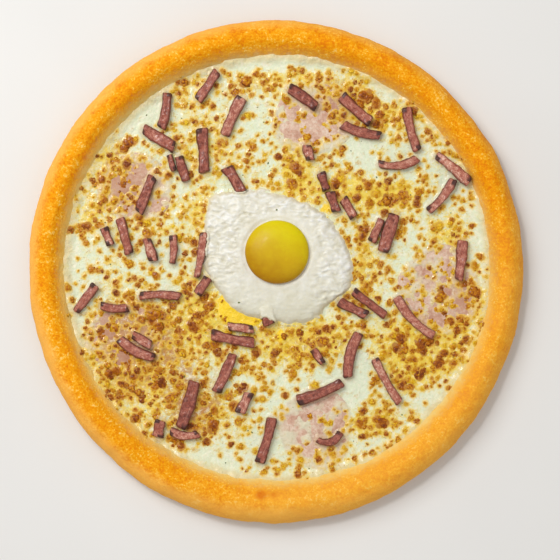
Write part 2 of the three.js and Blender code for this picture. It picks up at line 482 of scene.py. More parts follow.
# Patches where the oven browned the cheese more (or, below zero, left pools of pale cream):
# middle x, middle y, half width, half height, all in millimetres, and how much.
PATCHES = [
    (46, 101, 18, 16, 0.75), (75, 92, 12, 8, 0.5), (-5, 116, 14, 8, 0.35), (18, 118, 8, 5, 0.4),
    (-52, 106, 12, 12, 0.25), (-95, 62, 15, 18, 0.5), (12, 60, 9, 16, 0.7), (40, 49, 22, 10, 0.75),
    (70, 44, 12, 10, 0.45), (-110, 35, 10, 9, 0.4), (-84, 36, 20, 20, 0.15), (-86, -52, 26, 32, 0.8),
    (-40, -32, 20, 18, 0.6), (-45, -84, 16, 12, 0.7), (18, -42, 30, 13, 0.8), (85, -48, 22, 22, 0.85),
    (58, -90, 16, 10, 0.45), (112, -20, 12, 24, 0.5), (105, 25, 12, 12, 0.3), (22, -114, 12, 8, 0.2),
    (53, 2, 8, 24, 0.5), (-46, 38, 6, 12, 0.4), (-45, -12, 8, 12, 0.4), (-42, 74, 18, 16, 0.35),
    (-88, 88, 8, 12, -0.6), (-12, 82, 12, 14, -0.15), (50, 72, 7, 11, -0.8), (72, 62, 12, 8, -0.35),
    (82, 16, 14, 12, -0.15), (-112, 4, 8, 16, -0.1), (-70, 4, 12, 12, -0.3), (-42, -116, 22, 7, -0.6),
    (8, -92, 12, 20, -0.35), (34, -72, 12, 16, -0.5), (51, -58, 6, 16, -0.6), (104, 46, 9, 8, -0.25),
    (121, 30, 5, 22, -0.5), (75, 110, 18, 7, -0.8), (-122, 5, 4, 26, -0.4), (-120, -52, 5, 26, -0.5),
    (98, -80, 12, 12, -0.6), (0, -125, 45, 4, -0.3), (0, 127, 55, 5, -0.9), (-72, 100, 12, 12, -0.25),
    (-60, 30, 12, 10, 0.1), (76, 47, 14, 8, 0.4), (100, 20, 14, 9, 0.25),
]
EVEN_BROWNING = 0.33

# Where it went on to toast, darker and redder, in the same terms
TOASTED = [
    (-82, -32, 20, 16, 1.4), (-96, -60, 18, 26, 0.8), (-48, -84, 16, 14, 1.1), (-62, -58, 18, 18, 0.7),
    (-92, 50, 20, 20, 0.8), (-100, 78, 12, 12, 0.4), (42, 104, 18, 14, 0.8), (20, -42, 22, 8, 0.5),
    (84, -42, 16, 14, 0.15), (112, -14, 14, 16, 0.6), (14, 60, 6, 12, 0.4), (52, 0, 6, 22, 0.5),
    (62, -90, 12, 8, 0.4), (-20, 112, 12, 8, 0.3),
]

# Small scorched spots on the crust, in the same terms
SCORCHES = [
    (-9, -133, 4.4, 3.4, 0.9), (-114, 68, 3, 2.2, 0.7), (-1, -133, 3, 2.4, 0.6), (-119, 60, 2, 1.6, 0.6),
    (28, 131, 2.4, 1.8, 0.5), (92, 94, 2.6, 2, 0.5), (128, -34, 2, 2.6, 0.5), (-60, -120, 2.6, 2, 0.5),
]

# Yolk that ran out under the white, in the same terms
YOLK_SPILLS = [(-19, -27, 12, 7, 1.2), (-30, -19, 6, 7, 0.8), (3, -38, 3, 5, 0.8), (30, 38, 4, 4, 0.7)]

# Larger blisters: x, y, radius in millimetres
BLISTERS = [
    (-74, -27, 4.6), (-70, -33, 3.2), (99, -15, 3.4), (119, -12, 3.6), (-18, 114, 3.6),
    (54, 105, 4.4), (60, 101, 3.2), (64, -91, 3.6), (75, -40, 3.2), (98, -55, 3.2),
    (101, -49, 2.6), (-38, -93, 4.0), (-114, 27, 3.4), (-50, -33, 3.6), (-88, 78, 3.6),
    (-91, 74, 2.8), (50, 100, 3.4), (-96, -60, 3.0), (-52, 58, 2.6), (12, 62, 3.6),
    (36, 53, 3.4), (86, -62, 3.0), (-63, -76, 3.2), (28, -42, 3.4), (-82, 41, 2.8),
]

CURD_TRIES = 26000
CURD_COUNT = 1750
CURD_OVERLAP = 0.66


def patches_at(patches, x, y):
    """The sum of some soft-edged patches at each place; x and y in metres."""
    amount = np.zeros(np.shape(x))
    for middle_x, middle_y, wide, high, much in patches:
        across = (x / MM - middle_x) / wide
        up = (y / MM - middle_y) / high
        amount = amount + much * np.exp(-(across**2) - up**2)
    return amount


def spilling(x, y):
    """How much yolk ran out beside the egg, from 0 to 1."""
    return np.clip(patches_at(YOLK_SPILLS, x, y), 0, 1)


def browning(x, y):
    """How much the cheese browned, from 0 to 1."""
    return np.clip(EVEN_BROWNING + patches_at(PATCHES, x, y), 0, 1)


def toasting(x, y):
    """How much of that went on to toast, from 0 to 1."""
    return np.clip(patches_at(TOASTED, x, y), 0, 1)


def scatter_curds():
    """Browned curds as rows of x, y, radius, bake (0 pale to 1 dark) and turn."""
    dice = np.random.default_rng(SEED)
    curds = []
    taken = {}
    cell = 4 * MM

    def neighbours(x, y):
        column, row = int(x // cell), int(y // cell)
        for i in range(column - 2, column + 3):
            for j in range(row - 2, row + 3):
                yield from taken.get((i, j), ())

    def keep(curd):
        curds.append(curd)
        taken.setdefault((int(curd[0] // cell), int(curd[1] // cell)), []).append(curd)

    for x, y, radius in BLISTERS:
        keep((x * MM, y * MM, radius * MM, 0.9, 0.7 * x))
    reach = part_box("cheese_bed")[1].x
    xs, ys = dice.uniform(-reach, reach, (2, CURD_TRIES))
    chance = dice.uniform(0, 1, CURD_TRIES)
    sizes = np.clip(dice.lognormal(0.33, 0.4, CURD_TRIES), 0.6, 3.0)
    bakes = np.clip(dice.normal(0.5, 0.24, CURD_TRIES), 0, 1)
    turns = dice.uniform(0, 2 * math.pi, CURD_TRIES)
    brown = browning(xs, ys)
    edge = bed_radius(np.arctan2(ys, xs)) - np.hypot(xs, ys)
    on_ham = np.min([outside(xs, ys) for outside in ham_outsides], axis=0) < 0
    brown = np.where(on_ham, 0.8 * brown, brown)
    clumps = smooth_step(fractal(np.column_stack([xs, ys]), 7 * MM, 2, 61.0), -0.22, 0.2)
    brown = brown * (0.16 + 0.84 * clumps) * (1 - 0.85 * spilling(xs, ys))
    toast = toasting(xs, ys)
    brown = np.where(edge < 1.5 * MM, 0.5 * brown, brown)
    allowed = (edge > -2.5 * MM) & (chance < brown) & (egg_outside(xs, ys) > 0.5 * MM)
    off_strips = np.min([strip.away(xs, ys) for strip in STRIPS], axis=0) > 0.4 * MM
    for i in np.flatnonzero(allowed & off_strips):
        size = sizes[i] * (0.75 + 0.45 * brown[i])
        x, y, radius = xs[i], ys[i], size * MM
        clear = all(
            math.hypot(x - other[0], y - other[1]) > CURD_OVERLAP * (radius + other[2])
            for other in neighbours(x, y)
        )
        if clear:
            bake = np.clip(bakes[i] + 0.2 * (size - 1.4) + 0.3 * toast[i], 0.05, 1)
            keep((x, y, radius, bake, turns[i]))
        if len(curds) >= CURD_COUNT:
            break
    return np.array(curds)


CURDS = scatter_curds()


def uneven(angle, turn):
    """How the outline of a curd wanders round its middle."""
    return 1 + 0.16 * np.sin(2 * angle + turn) + 0.1 * np.sin(3 * angle + 2.3 * turn)


# ---------------------------------------------------------------- cheese bed

CHEESE_STEP = 0.77 * MM
CHEESE_CLIMB = 3.2 * MM


def film(x, y):
    """How thick the melted cheese lies over the ham, in millimetres; below zero the ham shows."""
    inward = -np.min([outside(x, y) for outside in ham_outsides], axis=0)
    uneven_melt = 0.62 * fractal(np.column_stack([x, y]), 6 * MM, 3, 12.4) + 0.24
    return uneven_melt + 0.4 * (1 - smooth_step(inward, 1 * MM, 7 * MM))


def curd_fields(x, y):
    """For each place: how far it is inside the nearest curd (below 0 outside) and its bake."""
    inside = np.full(len(x), -4 * MM)
    bake = np.zeros(len(x))
    order = np.argsort(x, kind="stable")
    sorted_x = x[order]
    for curd_x, curd_y, radius, baked, turn in CURDS:
        reach = radius + 4 * MM
        first, last = np.searchsorted(sorted_x, (curd_x - reach, curd_x + reach))
        near = order[first:last]
        near = near[np.abs(y[near] - curd_y) < reach]
        across, up = x[near] - curd_x, y[near] - curd_y
        edge = radius * uneven(np.arctan2(up, across), turn)
        depth = edge - np.hypot(across, up)
        deeper = depth > inside[near]
        inside[near[deeper]] = depth[deeper]
        bake[near[deeper]] = baked
    return inside, bake


def make_cheese():
    low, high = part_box("cheese_bed")
    size = high.x - low.x + 2 * CHEESE_CLIMB
    middle = ((low.x + high.x) / 2, (low.y + high.y) / 2, high.z)
    piece = sheet("melted_cheese", size, CHEESE_STEP, middle)
    places = points(piece)
    radius = np.hypot(places[:, 0], places[:, 1])
    rim = bed_radius(np.arctan2(places[:, 1], places[:, 0]))
    trim(piece, radius > rim + CHEESE_CLIMB)

    places = points(piece)
    x, y = places[:, 0], places[:, 1]
    plan = places[:, :2]
    to_rim = bed_radius(np.arctan2(y, x)) - np.hypot(x, y)
    to_strip = np.min([strip.away(x, y) for strip in STRIPS], axis=0)
    to_egg = egg_outside(x, y)
    to_ham = np.min([outside(x, y) for outside in ham_outsides], axis=0)
    inside, bake = curd_fields(x, y)
    brown = browning(x, y)

    melt = fractal(plan, 5 * MM, 3, 7.7)
    fine = fractal(plan, 1.9 * MM, 2, 1.3)
    cover = film(x, y)
    lumpy = (0.3 + 0.7 * smooth_step(brown, 0.15, 0.7)) * (0.2 + 0.8 * smooth_step(to_rim, -1 * MM, 4 * MM))
    height = bed_height(x, y)
    height += 0.4 * MM * fractal(plan, 16 * MM, 2, 3.1)
    height += 0.42 * MM * melt * lumpy
    height += 0.22 * MM * fine * lumpy
    height += 0.3 * MM * smooth_step(inside, -1.2 * MM, 0.8 * MM)
    height += 0.9 * MM * (1 - smooth_step(to_strip, -0.4 * MM, 2.2 * MM))
    height += 0.6 * MM * (1 - smooth_step(to_egg, -1 * MM, 3 * MM))
    height -= 2.2 * MM * smooth_step(-to_egg, 3 * MM, 6 * MM)
    climb = 1.5 + 1.6 * fractal(plan, 9 * MM, 4, 5.5)
    height += climb * MM * (1 - smooth_step(to_rim, -1 * MM, 5 * MM))
    over_ham = smooth_step(-to_ham, -0.6 * MM, 1.6 * MM)
    height += over_ham * MM * (cover - 0.12) * smooth_step(to_strip, 0, 2 * MM)
    move(piece, np.column_stack([x, y, height]))

    paint(piece, "curd", inside / MM)
    paint(piece, "bake", bake)
    paint(piece, "browning", brown)
    paint(piece, "toast", toasting(x, y))
    paint(piece, "yolk_spill", spilling(x, y))
    paint(piece, "over_ham", smooth_step(-to_ham, -3 * MM, 3 * MM))
    paint(piece, "film", cover)
    paint(piece, "to_strip", to_strip / MM)
    paint(piece, "to_rim", to_rim / MM)

    close_below(piece, low.z)
    return finish_piece(piece, cheese_finish(), ["cheese_bed"])


def close_below(piece, floor):
    """Draws the open edge of a sheet straight down to floor and closes it there."""
    edit(piece)
    bpy.ops.mesh.select_non_manifold()
    bpy.ops.mesh.extrude_region_move(TRANSFORM_OT_translate={"value": (0, 0, -1 * MM)})
    leave()
    places = points(piece)
    chosen = np.zeros(len(places), bool)
    piece.data.vertices.foreach_get("select", chosen)
    places[chosen, 2] = floor
    move(piece, places)
    bpy.ops.object.mode_set(mode="EDIT")
    bpy.ops.mesh.edge_face_add()
    bpy.ops.mesh.select_all(action="SELECT")
    bpy.ops.mesh.normals_make_consistent(inside=False)
    leave()


def mottled(m, patchy, fine, dark, middle, light):
    """The uneven pink of meat under a film of melted cheese."""
    share = ((patchy - 0.5) * 1.6 + (fine - 0.5) * 1.2 + 0.5).clip()
    return m.ramp(share, (0.15, dark), (0.5, middle), (0.85, light))


def cheese_finish():
    """Pale cream where it pooled, mustard where it browned, pink over the ham."""
    m = Finish("melted_cheese")
    curd, bake = m.read("curd"), m.read("bake")
    brown = m.read("browning")
    fine = m.grain(1.3 * MM, 4, 0.65)
    blotch = m.grain(3.4 * MM, 4, 0.62, 0.5)
    patchy = m.grain(9 * MM, 4, 0.6, 0.4)

    pools = (brown * 0.8 + (patchy - 0.5) * 1.3 + (blotch - 0.5) * 1.6).over(0.12, 0.7)
    ground = m.blend(pools, tone(226, 232, 200), tone(236, 218, 128))
    streak = m.grain(4.2 * MM, 5, 0.65, 1.4).over(0.5, 0.62)
    ground = m.blend(streak * 0.7, ground, tone(242, 238, 214))
    tan = (brown * 0.9 + (m.grain(2.6 * MM, 4, 0.65, 0.8) - 0.5) * 2.2).over(0.36, 0.85)
    ground = m.blend(tan * 0.85, ground, tone(238, 206, 62))
    toast = (m.read("toast") + (patchy - 0.5) * 1.3 + (blotch - 0.5) * 2.0).over(0.1, 0.95)
    toast = toast * (m.read("to_rim") + (patchy - 0.5) * 6).over(2.5, 7.0)
    ground = m.blend(toast * 0.88, ground, tone(180, 110, 50))
    gaps = m.grain(4.6 * MM, 4, 0.6, 1.2).over(0.53, 0.62) * fine.over(0.35, 0.55)
    ground = m.blend(gaps * 0.62, ground, tone(240, 236, 206))
    shore = 1 - (m.read("to_rim") + (patchy - 0.5) * 8 + (blotch - 0.5) * 5).over(-0.5, 4.5)
    ground = m.blend(shore * 0.5, ground, tone(226, 190, 104))
    thin = 1 - (m.read("film") + (blotch - 0.5) * 0.5).over(0.0, 0.6)
    pink = (m.read("over_ham") + (patchy - 0.5) * 0.8).over(0.3, 0.8) * (1 - toast * 0.6)
    ground = m.blend(pink * 0.42, ground, tone(216, 182, 152))
    meat = mottled(m, patchy, fine, tone(184, 134, 108), tone(212, 172, 146), tone(232, 208, 184))
    ground = m.blend(pink * thin * 0.85, ground, meat)

    wander = (blotch - 0.5) * 3.6 + (fine - 0.5) * 2.4
    near = (curd + wander).over(-2.0, 0.3)
    ground = m.blend(near * 0.85, ground, tone(238, 196, 36))
    near_strip = 1 - m.read("to_strip").over(-0.5, 1.8)
    ground = m.blend(near_strip * 0.35, ground, tone(200, 146, 84))

    core = (curd + wander * 0.5).over(-0.7, 0.5)
    spot = m.ramp(
        (bake * 0.8 + (fine - 0.5) * 0.7 + 0.1).clip(),
        (0.0, tone(212, 172, 8)),
        (0.4, tone(206, 146, 0)),
        (0.75, tone(186, 110, 0)),
        (1.0, tone(140, 68, 0)),
    )
    color = m.blend(core * 0.85, ground, spot)
    specks = m.grain(1.5 * MM, 2, 0.5).over(0.64, 0.72) * (brown + 0.25).over(0.1, 0.7)
    color = m.blend(specks * 0.6, color, tone(176, 128, 0))

    yolk = (m.read("yolk_spill") + (blotch - 0.5) * 0.7).over(0.25, 0.6)
    color = m.blend(yolk * 0.92, color, tone(255, 212, 0))

    rough = 0.2 + fine * 0.24 + core * 0.08
    relief = m.bump(blotch, 0.55, 1.6 * MM)
    relief = m.bump(fine, 0.6, 0.8 * MM, relief)
    relief = m.bump(m.grain(0.6 * MM, 3), 0.3, 0.25 * MM, relief)
    return m.surface(
        color,
        rough,
        relief,
        specular_ior_level=0.4,
        coat_weight=0.25,
        coat_roughness=0.1,
        subsurface_weight=0.05,
        subsurface_scale=1.2 * MM,
        subsurface_radius=(1.0, 0.75, 0.4),
    )


# ---------------------------------------------------------------- browned curds


def model_curd():
    """One lobe of a curd: a flattened blob of a few dozen faces."""
    deselect()
    bpy.ops.mesh.primitive_uv_sphere_add(segments=8, ring_count=6, radius=1)
    piece = started("curd_model")
    edit_all(piece, bpy.ops.transform.resize, value=(1, 1, 0.8))
    return piece


def strew(name, model, copies, **painted):
    """Joins placed copies of a model's points as one piece, with numbers painted on each."""
    faces = [list(face.vertices) for face in model.data.polygons]
    count = len(model.data.vertices)
    mesh = bpy.data.meshes.new(name)
    corners = [[copy * count + c for c in face] for copy in range(len(copies)) for face in faces]
    mesh.from_pydata(np.vstack(copies).tolist(), [], corners)
    piece = bpy.data.objects.new(name, mesh)
    bpy.context.scene.collection.objects.link(piece)
    for title, values in painted.items():
        paint(piece, title, np.concatenate(values))
    return piece


def surface_tree(*pieces):
    """The surfaces of some pieces, to be met by a ray from above."""
    places, faces = [], []
    for piece in pieces:
        faces += [[len(places) + v for v in p.vertices] for p in piece.data.polygons if p.loop_total < 5]
        places += [v.co for v in piece.data.vertices]
    return BVHTree.FromPolygons(places, faces)


def drop(tree, x, y, miss=0.0):
    """The height at which a plumb line meets the surfaces."""
    hit = tree.ray_cast(Vector((x, y, PLUMB_START)), Vector((0, 0, -1)))[0]
    return hit.z if hit else miss


def make_curds(*hosts):
    """Every browned curd at its true size, in one to four lobes partly sunk in the cheese."""
    model = model_curd()
    shape = points(model)
    angle = np.arctan2(shape[:, 1], shape[:, 0])
    tree = surface_tree(*hosts)
    dice = np.random.default_rng(SEED + 1)
    copies, bakes, crowns, rings = [], [], [], []
    for x, y, radius, bake, turn in CURDS:
        lobes = 1 + int(radius > 1.0 * MM) + int(radius > 1.5 * MM) + int(radius > 2.4 * MM)
        ring = dice.uniform(0, 1)
        for lobe in range(lobes):
            size = radius * (0.95 if lobes == 1 else dice.uniform(0.5, 0.75))
            out = 0 if lobes == 1 else radius * dice.uniform(0.25, 0.5)
            heading = turn + lobe * 2 * math.pi / lobes + dice.uniform(-0.5, 0.5)
            middle_x, middle_y = x + out * math.cos(heading), y + out * math.sin(heading)
            pushes = dice.uniform(0.68, 1.25, len(shape))
            reach = size * uneven(angle, turn + lobe) * pushes
            tall = size * dice.uniform(0.18, 0.32) * pushes
            floor = drop(tree, middle_x, middle_y) - 0.3 * tall.mean()
            copies.append(shape * np.column_stack([reach, reach, tall]) + (middle_x, middle_y, floor))
            bakes.append(np.full(len(shape), bake + dice.uniform(-0.15, 0.15)))
            crowns.append(shape[:, 2] / shape[:, 2].max())
            rings.append(np.full(len(shape), ring))
    material = curd_finish()
    painted = {"bake": bakes, "crown": crowns, "ring": rings}
    lower = [copy[:, 1].mean() < 0 for copy in copies]
    for name, side in (("browned_curds_lower", True), ("browned_curds_upper", False)):
        half = [i for i, here in enumerate(lower) if here == side]
        values = {title: [rows[i] for i in half] for title, rows in painted.items()}
        piece = strew(name, model, [copies[i] for i in half], **values)
        lump(piece, 1.5 * MM, 0.7 * MM, 1)
        finish_piece(piece, material)
    bpy.data.objects.remove(model)


def curd_finish():
    """Mustard at the foot, browner towards the top; some are blisters with a paler middle."""
    m = Finish("browned_curds")
    bake, crown = m.read("bake"), m.read("crown")
    fine = m.grain(0.9 * MM, 4, 0.65)
    blotch = m.grain(3 * MM, 3, 0.6)
    depth = bake * 0.62 + crown * 0.5 + (fine - 0.5) * 1.1 + (blotch - 0.5) * 1.0 - 0.16
    blister = m.read("ring").over(0.62, 0.66) * crown.over(0.75, 0.98)
    color = m.ramp(
        (depth - blister * 0.45).clip(),
        (0.0, tone(234, 194, 36)),
        (0.22, tone(216, 164, 4)),
        (0.48, tone(194, 124, 0)),
        (0.74, tone(162, 86, 0)),
        (1.0, tone(112, 48, 0)),
    )
    relief = m.bump(fine, 0.6, 0.5 * MM)
    rough = 0.26 + blotch * 0.3
    return m.surface(
        color,
        rough,
        relief,
        specular_ior_level=0.15,
        coat_weight=0.25,
        coat_roughness=0.12,
    )


# ---------------------------------------------------------------- crust


def make_crust():
    """The CAD crust with its facets evened out, then the lumps and pores of baked dough."""
    piece = cad_copy("crust", "baked_crust")
    edit_all(piece, bpy.ops.mesh.tris_convert_to_quads)
    modify(piece, "SUBSURF", levels=3, render_levels=3)
    places = points(piece)
    radius = np.hypot(places[:, 0], places[:, 1])
    raised = smooth_step(places[:, 2], 0.3 * MM, 4 * MM)
    rim = bed_radius(np.arctan2(places[:, 1], places[:, 0]))
    weigh(piece, "baked_skin", raised * smooth_step(radius - rim, -1 * MM, 5 * MM))
    lump(piece, 22 * MM, 1.6 * MM, 1, "baked_skin")
    lump(piece, 7 * MM, 0.8 * MM, 2, "baked_skin")
    lump(piece, 2.4 * MM, 0.5 * MM, 2, "baked_skin")
    places = points(piece)
    rim = bed_radius(np.arctan2(places[:, 1], places[:, 0]))
    paint(piece, "from_bed", (np.hypot(places[:, 0], places[:, 1]) - rim) / MM)
    paint(piece, "scorched", patches_at(SCORCHES, places[:, 0], places[:, 1]))
    return finish_piece(piece, crust_finish(), ["crust"])


def crust_finish():
    """Golden orange skin, paler towards the cheese and at the foot, browned underneath, with painted light
    on its left and lower right.
    """
    m = Finish("baked_crust")
    height = m.axis("Z") * (1 / MM)
    out = m.read("from_bed")
    grainy = m.grain(1.3 * MM, 5, 0.7)
    speck = m.grain(0.8 * MM, 3, 0.6)
    blotch = m.grain(4.5 * MM, 4, 0.65, 0.6)
    patchy = m.grain(12 * MM, 4, 0.65, 0.5)
    broad = m.grain(45 * MM, 3)

    share = (grainy - 0.5) * 2.6 + (blotch - 0.5) * 1.4 + (patchy - 0.5) * 1.1 + 0.5
    skin = m.ramp(
        share.clip(),
        (0.0, tone(226, 122, 0)),
        (0.3, tone(236, 144, 0)),
        (0.58, tone(244, 162, 4)),
        (0.82, tone(250, 182, 44)),
        (1.0, tone(254, 206, 112)),
    )
    # Paler outer edge: partly the crust's own paler rim, partly painted light, strongest on the left where
    # the light falls.
    painted_light_left = (m.axis("X") * -4.5 + (broad - 0.5) * 1.5 + 0.4).clip()
    edge = (out + (patchy - 0.5) * 9 + (grainy - 0.5) * 4).over(14.0, 21.0)
    skin = m.blend(edge * (painted_light_left * 0.6 + 0.3), skin, tone(255, 186, 84))
    # Painted light: the lower right of the crust is lightened to fill the shade that the lamps leave on
    # that side.
    soft = (m.axis("X") * 3.0 + m.axis("Y") * -4.5 + (broad - 0.5) * 1.5).over(0.2, 0.9)
    skin = m.blend(soft * 0.4, skin, tone(250, 184, 74))
    inner = 1 - (out + (blotch - 0.5) * 9 + (grainy - 0.5) * 4).over(0.5, 7.5)
    # Painted light: the crust's own pale band towards the cheese is laid on strongly on the lower left,
    # where the inner slope is lit, and weakly on the unlit upper right.
    unlit_side = (m.axis("X") * 4.5 + m.axis("Y") * 5.5).over(0.2, 0.9)
    skin = m.blend(inner * (0.88 - unlit_side * 0.6), skin, tone(244, 206, 116))
    smear = 1 - (out + (blotch - 0.5) * 7).over(-1.0, 3.0)
    skin = m.blend(smear * 0.7, skin, tone(238, 218, 156))
    foot = 1 - (height + (patchy - 0.5) * 5).over(1.5, 7.0)
    skin = m.blend(foot * 0.8, skin, tone(240, 196, 126))
    freckles = m.grain(8 * MM, 5, 0.7, 0.5).over(0.5, 0.64) * (1 - height.over(2.0, 10.0))
    skin = m.blend(freckles * 0.6, skin, tone(204, 130, 54))
    scorch = (m.grain(6 * MM, 4, 0.7).over(0.66, 0.74)) * grainy.over(0.45, 0.62)
    skin = m.blend(scorch * 0.45, skin, tone(170, 84, 14))
    spots = (m.read("scorched") + (grainy - 0.5) * 0.9).over(0.25, 0.8)
    skin = m.blend(spots * 0.6, skin, tone(208, 92, 8))
    under = 1 - height.over(0.15, 1.4)
    baked = m.ramp(
        ((patchy - 0.5) * 1.2 + (grainy - 0.5) * 0.8 + 0.45).clip(),
        (0.0, tone(96, 52, 20)),
        (0.4, tone(160, 102, 48)),
        (0.7, tone(206, 156, 92)),
        (1.0, tone(238, 212, 168)),
    )
    skin = m.blend(under, skin, baked)

    pores = m.cells(2.4 * MM).over(0.05, 0.3)
    relief = m.bump(grainy, 0.45, 0.8 * MM)
    relief = m.bump(pores, 0.35, 0.5 * MM, relief)
    relief = m.bump(speck, 0.5, 0.35 * MM, relief)
    rough = 0.6 + grainy * 0.3
    return m.surface(skin, rough, relief, specular_ior_level=0.12)


# ---------------------------------------------------------------- ham


def make_ham():
    """Each slice as thin meat that the melted cheese laps over and leaves bare in patches."""
    for number, node in enumerate(HAM_NODES, 1):
        piece = cad_copy(node, f"cooked_ham_{number}")
        modify(piece, "SUBSURF", subdivision_type="SIMPLE", levels=4, render_levels=4)
        places = points(piece)
        top = places[:, 2] > bed_height(places[:, 0], places[:, 1]) - 0.7 * MM
        places[top, 2] += 0.1 * MM
        places[top, 2] += 0.25 * MM * fractal(places[top, :2], 12 * MM, 2, number)
        move(piece, places)
        paint(piece, "film", film(places[:, 0], places[:, 1]))
        paint(piece, "toast", toasting(places[:, 0], places[:, 1]))
        finish_piece(piece, ham_material, [node])


def ham_finish():
    m = Finish("cooked_ham")
    fibres = m.grain(2.2 * MM, 5, 0.6, 1.5)
    patchy = m.grain(7 * MM, 4, 0.6)
    fine = m.grain(1.3 * MM, 4, 0.6)
    color = m.ramp(
        ((fibres - 0.5) * 1.0 + (patchy - 0.5) * 0.9 + 0.5).clip(),
        (0.0, tone(158, 96, 78)),
        (0.4, tone(190, 136, 112)),
        (0.75, tone(212, 172, 146)),
        (1.0, tone(236, 216, 194)),
    )
    smeared = (m.read("film") + (patchy - 0.5) * 0.8 + (fine - 0.5) * 0.5).over(-0.5, 0.02)
    melted = mottled(m, patchy, fine, tone(186, 138, 112), tone(214, 176, 150), tone(236, 216, 194))
    color = m.blend(smeared * 0.8, color, melted)
    toast = (m.read("toast") + (patchy - 0.5) * 0.9 + (fibres - 0.5) * 0.9).over(0.05, 0.9)
    color = m.blend(toast * 0.65, color, tone(172, 112, 70))
    relief = m.bump(fibres, 0.5, 0.6 * MM)
    relief = m.bump(fine, 0.4, 0.4 * MM, relief)
    rough = 0.3 + patchy * 0.2
    return m.surface(
        color,
        rough,
        relief,
        coat_weight=0.15,
        subsurface_weight=0.1,
        subsurface_scale=1.2 * MM,
        subsurface_radius=(1.0, 0.4, 0.3),
    )


# ---------------------------------------------------------------- bacon

STRIP_LENGTH = 24 * MM
STRIP_WIDTH = 6 * MM
STRIP_TALL = 4 * MM
STRIP_ROUNDING = 1.05 * MM
STRIP_CUTS = ((0, 44), (1, 9), (2, 4))


def model_strip():
    """One strip of bacon, lying along X: a cut bar with rounded edges and enough rings to bend."""
    deselect()
    bpy.ops.mesh.primitive_cube_add(size=1)
    piece = bpy.context.active_object
    piece.name = "strip_model"
    piece.scale = (STRIP_LENGTH, STRIP_WIDTH, STRIP_TALL)
    settle(piece)
    edit_all(piece, bpy.ops.mesh.bevel, offset=STRIP_ROUNDING, segments=3, affect="EDGES")
    for axis, cuts in STRIP_CUTS:
        cut_across(piece, axis, cuts)
    return piece


def cut_across(piece, axis, cuts):
    """Cuts the long edges that run along one axis into equal parts."""
    pick(piece)
    places = points(piece)
    size = np.ptp(places, axis=0)[axis]
    ends = np.empty(len(piece.data.edges) * 2, int)
    piece.data.edges.foreach_get("vertices", ends)
    runs = np.abs(places[ends[1::2]] - places[ends[::2]])
    long_ones = runs[:, axis] > 0.4 * size
    edit(piece)
    bpy.ops.mesh.select_mode(type="EDGE")
    leave()
    piece.data.edges.foreach_set("select", long_ones)
    bpy.ops.object.mode_set(mode="EDIT")
    bpy.ops.mesh.subdivide(number_cuts=cuts)
    bpy.ops.mesh.select_mode(type="VERT")
    leave()


def make_bacon():
    model = model_strip()
    shape = points(model)
    along = shape[:, 0] / STRIP_LENGTH + 0.5
    across = 2 * shape[:, 1] / STRIP_WIDTH
    up = shape[:, 2] / STRIP_TALL + 0.5
    strips = []
    for number, strip in enumerate(STRIPS, 1):
        dice = np.random.default_rng(SEED + 100 + number)
        piece = model.copy()
        piece.data = model.data.copy()
        piece.name = f"fried_bacon_{number:02d}"
        bpy.context.scene.collection.objects.link(piece)
        lay_strip(piece, strip, along, across, up, dice)
        lump(piece, 5 * MM, 1.1 * MM, 1)
        lump(piece, 1.9 * MM, 0.55 * MM, 2)
        strips.append(finish_piece(piece, bacon_material, [strip.node]))
    bpy.data.objects.remove(model)
    return strips


def lay_strip(piece, strip, along, across, up, dice):
    """Bends a copy of the model onto a strip's centreline and paints where it is seared and where painted
    shade darkens its sides.
    """
    taper, twist, skew = dice.uniform(-0.1, 0.1), dice.uniform(-0.12, 0.12), dice.uniform(-0.35, 0.35)
    wave = dice.uniform(0, 2 * math.pi)
    slant = skew * across * strip.width / strip.length * (2 * np.abs(along - 0.5)) ** 3
    share = along + 0.5 * slant
    place, ahead = strip.at(share)
    side = np.column_stack([-ahead[:, 1], ahead[:, 0], np.zeros(len(share))])
    side /= np.linalg.norm(side, axis=1, keepdims=True)
    wide = 1 + taper * (2 * along - 1) + 0.07 * np.sin(7 * along + wave)
    tall = 1 + 0.08 * np.sin(5 * along + 2 * wave)
    lateral = across * wide * strip.width / 2
    height = (up - 0.5) * tall * strip.thickness
    turned = twist * (2 * along - 1)
    out = lateral * np.cos(turned) - height * np.sin(turned)
    rise = lateral * np.sin(turned) + height * np.cos(turned)
    places = place + side * out[:, None]
    places[:, 2] += rise
    move(piece, places)

    near_end = np.minimum(along, 1 - along) * strip.length / MM
    corner = 0.6 + 0.4 * np.sign(across) * np.sign(along - 0.5) * dice.choice([-1, 1])
    end_amount = np.where(along < 0.5, dice.uniform(0.3, 1.8), dice.uniform(0.3, 1.8)) * corner
    end_sear = end_amount * (1 - smooth_step(near_end, 0.3, dice.uniform(2.5, 6)))
    side_amount = np.where(across < 0, dice.uniform(0, 0.8), dice.uniform(0, 0.8))
    side_sear = side_amount * smooth_step(np.abs(across), 0.55, 1.0)
    paint(piece, "sear", np.clip(end_sear + side_sear, 0, 1))
    # How far out to the sides and how low: it marks painted shade on the strip's sides, deepest at their
    # foot.
    paint(piece, "side", smooth_step(np.abs(across), 0.5, 1.0) * (1 - 0.4 * up))
    paint(piece, "lean", np.full(len(along), dice.uniform(0, 1)))
    grain = piece.data.uv_layers.new(name="along_the_grain")
    corners = np.empty(len(piece.data.loops), int)
    piece.data.loops.foreach_get("vertex_index", corners)
    shift = dice.uniform(0, 40)
    run = along * strip.length / MM + shift
    over = across * strip.width / (2 * MM) + up * strip.thickness / MM
    grain.data.foreach_set("uv", np.column_stack([run, over])[corners].ravel())


